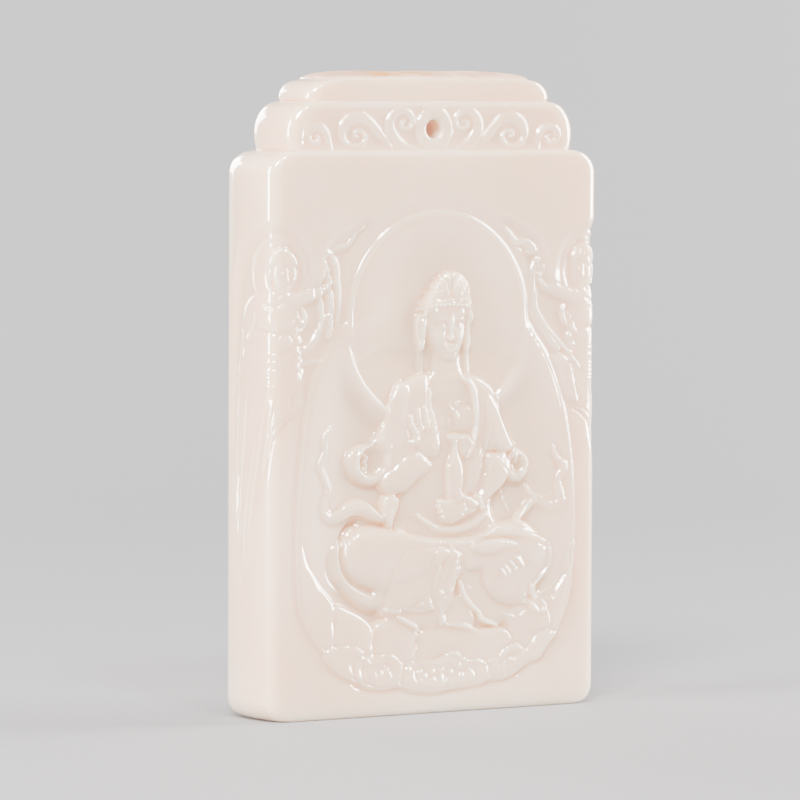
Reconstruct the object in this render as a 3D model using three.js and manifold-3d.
// A carved nephrite jade plaque, upright, drilled for a cord at the crown.
// Millimetres, +Z up, the carved front faces -Y, and the origin is the middle of the underside.
import * as THREE from 'three';
import * as BufferGeometryUtils from 'three/addons/utils/BufferGeometryUtils.js';
import Module from 'manifold-3d';

// Driving dimensions of the tablet
const WIDTH = 46.0;
const THICKNESS = 10.2;
const BODY_HEIGHT = 64.9;
const TIER_HEIGHT = 70.5;
const CREST_EDGE = 72.95;
const CREST_RIDGE = 74.0;
const SIDE_RADIUS = 16.3;
const ARRIS_RADIUS = 1.6;

// Corner and step profiles
const FOOT_CORNER = 2.3;
const FOOT_BREAK = 0.4;
const SHOULDER_HEIGHT = 2.65;
const TIER_INSET = 3.06;
const TIER_UNDERCUT = 0.3;
const TIER_WAIST = 66.8;
const TIER_OVOLO_REACH = 3.0;
const STEP_BACK = 0.6;
const CREST_CORNER_WIDTH = 2.8;
const CREST_CORNER_HEIGHT = 2.1;

// The drilled cord hole and the raised ring around it
const HOLE_HEIGHT = 67.3;
const HOLE_DIAMETER = 2.2;
const HOLE_SIDES = 20;
const RING_DIAMETER = 5.2;
const RING_BAND = 1.1;

// Halo, body glory and lotus throne of the seated figure
const FIGURE_AXIS = 0.25;
const HALO_CENTRE = 45.7;
const HALO_RADIUS = 12.35;
const GLORY_HALF_WIDTH = 19.05;
const GLORY_BASE = 20.0;
const GLORY_RISE = 29.0;
const THRONE_DROP = 17.7;
const OUTLINE_POWER = 2.2;
const DISH_DEPTH = 1.0;
const RIM_LEVEL = -0.08;
const MOAT_DEPTH = 0.45;
const MOAT_REACH = 2.3;

// How finely the faces are divided
const FRONT_COLUMNS = 34;
const ARRIS_COLUMNS = 2;
const SIDE_COLUMNS = 6;
const BACK_COLUMNS = 6;
const BODY_ROW_STEP = 1.25;

const clamp01 = (value) => Math.min(1, Math.max(0, value));
const easing = (value) => clamp01(value) ** 2 * (3 - 2 * clamp01(value));
const quarter = (count) => Array.from({ length: count }, (_, i) => (Math.PI / 2) * ((i + 1) / count));

// A dome of elliptical plan: full height in the middle, falling to nothing at its rim
function dome(s, z, form) {
  const q = ((s - form.s) / form.rs) ** 2 + ((z - form.z) / form.rz) ** 2;
  return q < 1 ? form.rise * Math.sqrt(1 - q) : 0;
}

// A limb: a round-backed bar between two points, whose radius runs from one end to the other
function limb(s, z, form) {
  const ds = form.to[0] - form.from[0];
  const dz = form.to[1] - form.from[1];
  const along = clamp01(((s - form.from[0]) * ds + (z - form.from[1]) * dz) / (ds * ds + dz * dz));
  const radius = form.r0 + (form.r1 - form.r0) * along;
  const away = Math.hypot(s - form.from[0] - along * ds, z - form.from[1] - along * dz);
  return away < radius ? form.rise * Math.sqrt(1 - (away / radius) ** 2) : 0;
}

// Head, trunk, arms, knees and hanging folds of the seated figure
const FIGURE_DOMES = [
  { s: 1.0, z: 44.8, rs: 4.0, rz: 5.0, rise: 1.15 },
  { s: 0.8, z: 50.2, rs: 1.8, rz: 1.5, rise: 0.7 },
  { s: 1.2, z: 32.5, rs: 8.4, rz: 7.6, rise: 0.85 },
  { s: -8.8, z: 17.6, rs: 4.7, rz: 4.0, rise: 1.05 },
  { s: 11.4, z: 17.3, rs: 4.6, rz: 3.9, rise: 1.05 },
  { s: -9.5, z: 29.3, rs: 2.7, rz: 2.6, rise: 0.75 },
  { s: 11.0, z: 28.8, rs: 1.9, rz: 2.0, rise: 0.7 },
];
const FIGURE_LIMBS = [
  { from: [1.1, 41], to: [1.2, 38.5], r0: 2.0, r1: 3.0, rise: 0.8 },
  { from: [-3.4, 46], to: [-3.8, 39.5], r0: 0.9, r1: 1.0, rise: 0.7 },
  { from: [4.9, 46], to: [5.2, 39.5], r0: 0.9, r1: 1.0, rise: 0.7 },
  { from: [-3.2, 36.6], to: [-6.6, 32.5], r0: 2.2, r1: 2.4, rise: 0.95 },
  { from: [5.4, 36.4], to: [8.2, 31.5], r0: 2.3, r1: 2.7, rise: 0.95 },
  { from: [-6.8, 32], to: [-6.4, 26.2], r0: 2.1, r1: 1.9, rise: 0.95 },
  { from: [-6.0, 26.2], to: [-1.6, 33.6], r0: 1.9, r1: 1.6, rise: 1.1 },
  { from: [8.4, 31.5], to: [9.4, 28.2], r0: 2.5, r1: 1.8, rise: 0.95 },
  { from: [9.2, 27.6], to: [2.8, 23.4], r0: 1.7, r1: 1.5, rise: 1.05 },
  { from: [2.2, 31.4], to: [2.2, 25.2], r0: 0.7, r1: 1.1, rise: 1.1 },
  { from: [-8.8, 17.8], to: [0.5, 19.2], r0: 3.6, r1: 2.6, rise: 0.85 },
  { from: [11.4, 17.4], to: [2.5, 19.0], r0: 3.5, r1: 2.6, rise: 0.85 },
  { from: [1.8, 20.5], to: [2.6, 11.5], r0: 2.3, r1: 3.0, rise: 0.9 },
  { from: [-14.0, 24.2], to: [-6.0, 24.2], r0: 0.7, r1: 0.9, rise: 0.5 },
  { from: [16.6, 29.5], to: [12.3, 22.6], r0: 0.7, r1: 0.7, rise: 0.5 },
];

// One kneeling attendant at each long edge, written for the right and mirrored to the left
const ATTENDANT_DOMES = [
  { s: 21.6, z: 51.2, rs: 4.3, rz: 4.4, rise: 0.25 },
  { s: 20.6, z: 50.9, rs: 1.9, rz: 2.3, rise: 0.5 },
  { s: 20.2, z: 43.2, rs: 2.2, rz: 2.6, rise: 0.45 },
];
const ATTENDANT_LIMBS = [
  { from: [21.4, 47.6], to: [22.0, 37.5], r0: 2.5, r1: 3.2, rise: 0.5 },
  { from: [20.5, 47.4], to: [14.8, 49.3], r0: 1.2, r1: 0.7, rise: 0.45 },
  { from: [22.0, 37.5], to: [27.2, 20.0], r0: 3.1, r1: 1.6, rise: 0.45 },
  { from: [14.2, 52.6], to: [14.0, 46.5], r0: 0.8, r1: 0.6, rise: 0.4 },
  { from: [14.0, 46.5], to: [19.6, 40.6], r0: 0.6, r1: 0.6, rise: 0.4 },
  { from: [13.8, 53.4], to: [9.8, 56.0], r0: 0.7, r1: 0.4, rise: 0.35 },
];
const ATTENDANT_GROUND = -0.48;
const ATTENDANT_MOAT = 2.0;

// Two rows of lotus petals, laid fanwise along the lower outline of the throne
const PETALS = 9;
const PETAL_HALF_WIDTH = 2.6;
const PETAL_HALF_HEIGHT = 3.0;
const PETAL_RISE = 0.6;
const PETAL_FAN = 2.5;
const PETAL_SEAT = 0.78;

function petalRise(s, z) {
  let rise = 0;
  for (let i = 0; i < PETALS; i += 1) {
    const turn = (i / (PETALS - 1) - 0.5) * PETAL_FAN;
    const form = {
      s: FIGURE_AXIS + GLORY_HALF_WIDTH * PETAL_SEAT * Math.sin(turn),
      z: GLORY_BASE - THRONE_DROP * PETAL_SEAT * Math.cos(turn) ** 0.7,
      rs: PETAL_HALF_WIDTH,
      rz: PETAL_HALF_HEIGHT,
      rise: PETAL_RISE,
    };
    rise = Math.max(rise, dome(s, z, form));
  }
  return rise;
}

// How far a point lies inside the outline of glory and throne, in mm, negative outside
function insideGlory(s, z) {
  const drop = z > GLORY_BASE ? GLORY_RISE : THRONE_DROP;
  const across = Math.abs((s - FIGURE_AXIS) / GLORY_HALF_WIDTH) ** OUTLINE_POWER;
  const upward = Math.abs((z - GLORY_BASE) / drop) ** OUTLINE_POWER;
  return (1 - (across + upward) ** (1 / OUTLINE_POWER)) * THRONE_DROP;
}

// The carved ground: dished inside the halo and the glory, sunk in a narrow moat outside them
function ground(s, z) {
  const inHalo = HALO_RADIUS - Math.hypot(s - FIGURE_AXIS, z - HALO_CENTRE);
  const inGlory = insideGlory(s, z);
  if (inHalo > 0) {
    return RIM_LEVEL - DISH_DEPTH * easing(inHalo / 9);
  }
  if (inGlory > 0) {
    return RIM_LEVEL - DISH_DEPTH * easing(inGlory / 11);
  }
  const away = Math.min(-inHalo, -inGlory);
  return -MOAT_DEPTH * (1 - easing(away / MOAT_REACH));
}

// Relief of the front and of both sides, s being the length round the outline from the middle
function frontRelief(s, z) {
  const base = ground(s, z);
  let height = base;
  for (const form of FIGURE_DOMES) {
    height = Math.max(height, base + dome(s, z, form));
  }
  for (const form of FIGURE_LIMBS) {
    height = Math.max(height, base + limb(s, z, form));
  }
  if (z < GLORY_BASE) {
    height = Math.max(height, base + petalRise(s, z));
  }
  const side = Math.abs(s);
  let attendant = 0;
  let near = 0;
  for (const form of ATTENDANT_DOMES) {
    attendant = Math.max(attendant, dome(side, z, form));
    const wide = { ...form, rs: form.rs + ATTENDANT_MOAT, rz: form.rz + ATTENDANT_MOAT, rise: 1 };
    near = Math.max(near, dome(side, z, wide));
  }
  for (const form of ATTENDANT_LIMBS) {
    attendant = Math.max(attendant, limb(side, z, form));
    const wide = { ...form, r0: form.r0 + ATTENDANT_MOAT, r1: form.r1 + ATTENDANT_MOAT, rise: 1 };
    near = Math.max(near, limb(side, z, wide));
  }
  if (near > 0 && insideGlory(s, z) < 0) {
    height = Math.min(height, ATTENDANT_GROUND * easing(near * 2)) + attendant;
  }
  return Math.min(height, 0);
}

// Relief of the crown band: the cord ring and three scrolls to each side of it
const SCROLLS = [
  { s: 4.6, z: 68.0, rs: 2.0, rz: 1.8, rise: 0.3 },
  { s: 10.9, z: 67.0, rs: 2.3, rz: 2.0, rise: 0.3 },
  { s: 16.1, z: 66.6, rs: 1.6, rz: 1.5, rise: 0.3 },
];
const BAND_GROUND = -0.3;
const BAND_REACH = 17.5;

function crownRelief(s, z) {
  const ring = Math.hypot(s, z - HOLE_HEIGHT) - (RING_DIAMETER - RING_BAND) / 2;
  let height = Math.abs(ring) < RING_BAND / 2 ? -BAND_GROUND : 0;
  for (const form of SCROLLS) {
    height = Math.max(height, dome(Math.abs(s), z, form));
  }
  const fade = 1 - easing((Math.abs(s) - BAND_REACH) / 1.5);
  return (BAND_GROUND + height) * fade;
}

// The section at one level: long flat faces, sides that bulge as arcs, rounded arrises between
function sectionAt(halfWidth, halfThickness) {
  const sideCentre = halfWidth - SIDE_RADIUS;
  const inner = halfThickness - ARRIS_RADIUS;
  const flat = sideCentre + Math.sqrt((SIDE_RADIUS - ARRIS_RADIUS) ** 2 - inner ** 2);
  const sideAngle = Math.atan2(inner, flat - sideCentre);
  const turn = Math.PI / 2 - sideAngle;
  return { halfThickness, sideCentre, inner, flat, sideAngle, turn };
}

// A quarter of the outline's stations, from the middle of the front to the middle of the side
function stationPoint(section, zone, f) {
  if (zone === 'face') {
    return { x: f * section.flat, y: -section.halfThickness, nx: 0, ny: -1, s: f * section.flat };
  }
  if (zone === 'arris') {
    const angle = -Math.PI / 2 + f * section.turn;
    const nx = Math.cos(angle);
    const ny = Math.sin(angle);
    const x = section.flat + ARRIS_RADIUS * nx;
    const y = -section.inner + ARRIS_RADIUS * ny;
    return { x, y, nx, ny, s: section.flat + ARRIS_RADIUS * f * section.turn };
  }
  const angle = section.sideAngle * (f - 1);
  const nx = Math.cos(angle);
  const ny = Math.sin(angle);
  const s = section.flat + ARRIS_RADIUS * section.turn + SIDE_RADIUS * f * section.sideAngle;
  return { x: section.sideCentre + SIDE_RADIUS * nx, y: SIDE_RADIUS * ny, nx, ny, s };
}

// All stations once round, counter-clockwise seen from above, starting at the front's middle
const STATIONS = [];
function addStations(zone, count, right, back, first, last) {
  for (let i = 0; i < count; i += 1) {
    STATIONS.push({ zone, f: first + ((last - first) * i) / count, right, back });
  }
}
addStations('face', FRONT_COLUMNS / 2, 1, false, 0, 1);
addStations('arris', ARRIS_COLUMNS, 1, false, 0, 1);
addStations('side', SIDE_COLUMNS / 2, 1, false, 0, 1);
addStations('side', SIDE_COLUMNS / 2, 1, true, 1, 0);
addStations('arris', ARRIS_COLUMNS, 1, true, 1, 0);
addStations('face', BACK_COLUMNS / 2, 1, true, 1, 0);
addStations('face', BACK_COLUMNS / 2, -1, true, 0, 1);
addStations('arris', ARRIS_COLUMNS, -1, true, 0, 1);
addStations('side', SIDE_COLUMNS / 2, -1, true, 0, 1);
addStations('side', SIDE_COLUMNS / 2, -1, false, 1, 0);
addStations('arris', ARRIS_COLUMNS, -1, false, 1, 0);
addStations('face', FRONT_COLUMNS / 2, -1, false, 1, 0);

// Levels from the underside to the crest's upper edge, with the inset in width and in thickness
const LEVELS = [];
const footInset = (z) => (z < FOOT_CORNER ? FOOT_CORNER - Math.sqrt(FOOT_CORNER ** 2 - (FOOT_CORNER - z) ** 2) : 0);
const footBreak = (z) => (z < FOOT_BREAK ? FOOT_BREAK - Math.sqrt(FOOT_BREAK ** 2 - (FOOT_BREAK - z) ** 2) : 0);
for (const z of [0, 0.12, FOOT_BREAK, 0.9, 1.55, FOOT_CORNER]) {
  LEVELS.push({ z, wide: footInset(z), thick: footBreak(z) });
}
const bodyTop = BODY_HEIGHT - SHOULDER_HEIGHT;
const bodyRows = Math.round((bodyTop - FOOT_CORNER) / BODY_ROW_STEP);
for (let i = 1; i <= bodyRows; i += 1) {
  LEVELS.push({ z: FOOT_CORNER + ((bodyTop - FOOT_CORNER) * i) / bodyRows, wide: 0, thick: 0 });
}
const faceRound = (z, top) => {
  const over = clamp01((z - top + STEP_BACK) / STEP_BACK);
  return STEP_BACK * (1 - Math.sqrt(1 - over ** 2));
};
for (const angle of quarter(5)) {
  const z = bodyTop + SHOULDER_HEIGHT * Math.sin(angle);
  const wide = (TIER_INSET + TIER_UNDERCUT) * (1 - Math.cos(angle));
  LEVELS.push({ z, wide, thick: faceRound(z, BODY_HEIGHT) });
}
LEVELS.push({ z: BODY_HEIGHT + 0.8, wide: TIER_INSET + TIER_UNDERCUT * 0.4, thick: STEP_BACK });
LEVELS.push({ z: TIER_WAIST, wide: TIER_INSET, thick: STEP_BACK });
for (const angle of quarter(5)) {
  const z = TIER_WAIST + (TIER_HEIGHT - TIER_WAIST) * Math.sin(angle);
  const wide = TIER_INSET + (TIER_OVOLO_REACH + TIER_UNDERCUT) * (1 - Math.cos(angle));
  LEVELS.push({ z, wide, thick: STEP_BACK + faceRound(z, TIER_HEIGHT) });
}
const crestStart = CREST_EDGE - CREST_CORNER_HEIGHT;
const crestInset = TIER_INSET + TIER_OVOLO_REACH;
LEVELS.push({ z: crestStart, wide: crestInset, thick: 2 * STEP_BACK });
for (const angle of quarter(4)) {
  const z = crestStart + CREST_CORNER_HEIGHT * Math.sin(angle);
  LEVELS.push({ z, wide: crestInset + CREST_CORNER_WIDTH * (1 - Math.cos(angle)), thick: 2 * STEP_BACK });
}

// One vertex of the side wall: the section's outline moved along its normal by the relief
function wallPoint(level, station) {
  const section = sectionAt(WIDTH / 2 - level.wide, THICKNESS / 2 - level.thick);
  const p = stationPoint(section, station.zone, station.f);
  const s = p.s * station.right;
  let relief = 0;
  if (level.z > BODY_HEIGHT && level.z < TIER_HEIGHT && station.zone === 'face') {
    relief = crownRelief(s, level.z);
  } else if (level.z < bodyTop && level.z > FOOT_CORNER && !station.back) {
    relief = frontRelief(s, level.z);
  }
  const x = (p.x + relief * p.nx) * station.right;
  const y = (p.y + relief * p.ny) * (station.back ? -1 : 1);
  return [x, y, level.z];
}

// The crest's top swells gently from its upper edge to a ridge
const CREST_RINGS = [0.82, 0.6, 0.34];
const crestHalfThickness = THICKNESS / 2 - 2 * STEP_BACK;
function crestHeight(y) {
  return CREST_EDGE + (CREST_RIDGE - CREST_EDGE) * Math.sqrt(clamp01(1 - (y / crestHalfThickness) ** 2));
}

function makePlaque() {
  const vertices = [];
  const triangles = [];
  const round = STATIONS.length;
  for (const level of LEVELS) {
    for (const station of STATIONS) {
      vertices.push(wallPoint(level, station));
    }
  }
  const rim = vertices.slice(-round);
  for (const scale of CREST_RINGS) {
    for (const [x, y] of rim) {
      vertices.push([x * scale, y * scale, crestHeight(y * scale)]);
    }
  }
  const rows = vertices.length / round;
  for (let row = 0; row + 1 < rows; row += 1) {
    for (let i = 0; i < round; i += 1) {
      const j = (i + 1) % round;
      const a = row * round + i;
      const b = row * round + j;
      triangles.push([a, b, b + round], [a, b + round, a + round]);
    }
  }
  const floor = vertices.push([0, 0, 0]) - 1;
  const summit = vertices.push([0, 0, CREST_RIDGE]) - 1;
  const last = (rows - 1) * round;
  for (let i = 0; i < round; i += 1) {
    const j = (i + 1) % round;
    triangles.push([floor, j, i], [summit, last + i, last + j]);
  }
  const geometry = new THREE.BufferGeometry();
  geometry.setAttribute('position', new THREE.Float32BufferAttribute(vertices.flat(), 3));
  geometry.setIndex(triangles.flat());
  return geometry;
}

// Joining and cutting of closed shapes
const wasm = await Module();
wasm.setup();

function toSolid(geometry) {
  const bare = geometry.clone();
  bare.deleteAttribute('normal');
  bare.deleteAttribute('uv');
  const merged = BufferGeometryUtils.mergeVertices(bare, 1e-5);
  const vertProperties = new Float32Array(merged.attributes.position.array);
  const triVerts = new Uint32Array(merged.index.array);
  return new wasm.Manifold(new wasm.Mesh({ numProp: 3, vertProperties, triVerts }));
}

function toGeometry(solid) {
  const mesh = solid.getMesh();
  const geometry = new THREE.BufferGeometry();
  geometry.setAttribute('position', new THREE.BufferAttribute(mesh.vertProperties, 3));
  geometry.setIndex(new THREE.BufferAttribute(mesh.triVerts, 1));
  geometry.computeVertexNormals();
  return geometry;
}

// The cord hole runs straight through from front to back
function makeCordHole() {
  const drill = new THREE.CylinderGeometry(HOLE_DIAMETER / 2, HOLE_DIAMETER / 2, THICKNESS * 1.5, HOLE_SIDES);
  drill.translate(0, 0, HOLE_HEIGHT);
  return drill;
}

const jade = new THREE.MeshStandardMaterial({ color: 0xe8dcd2, roughness: 0.2, metalness: 0.0 });
const plaque = new THREE.Mesh(toGeometry(toSolid(makePlaque()).subtract(toSolid(makeCordHole()))), jade);
plaque.name = 'plaque';

const carving = new THREE.Group();
carving.add(plaque);

export default carving;
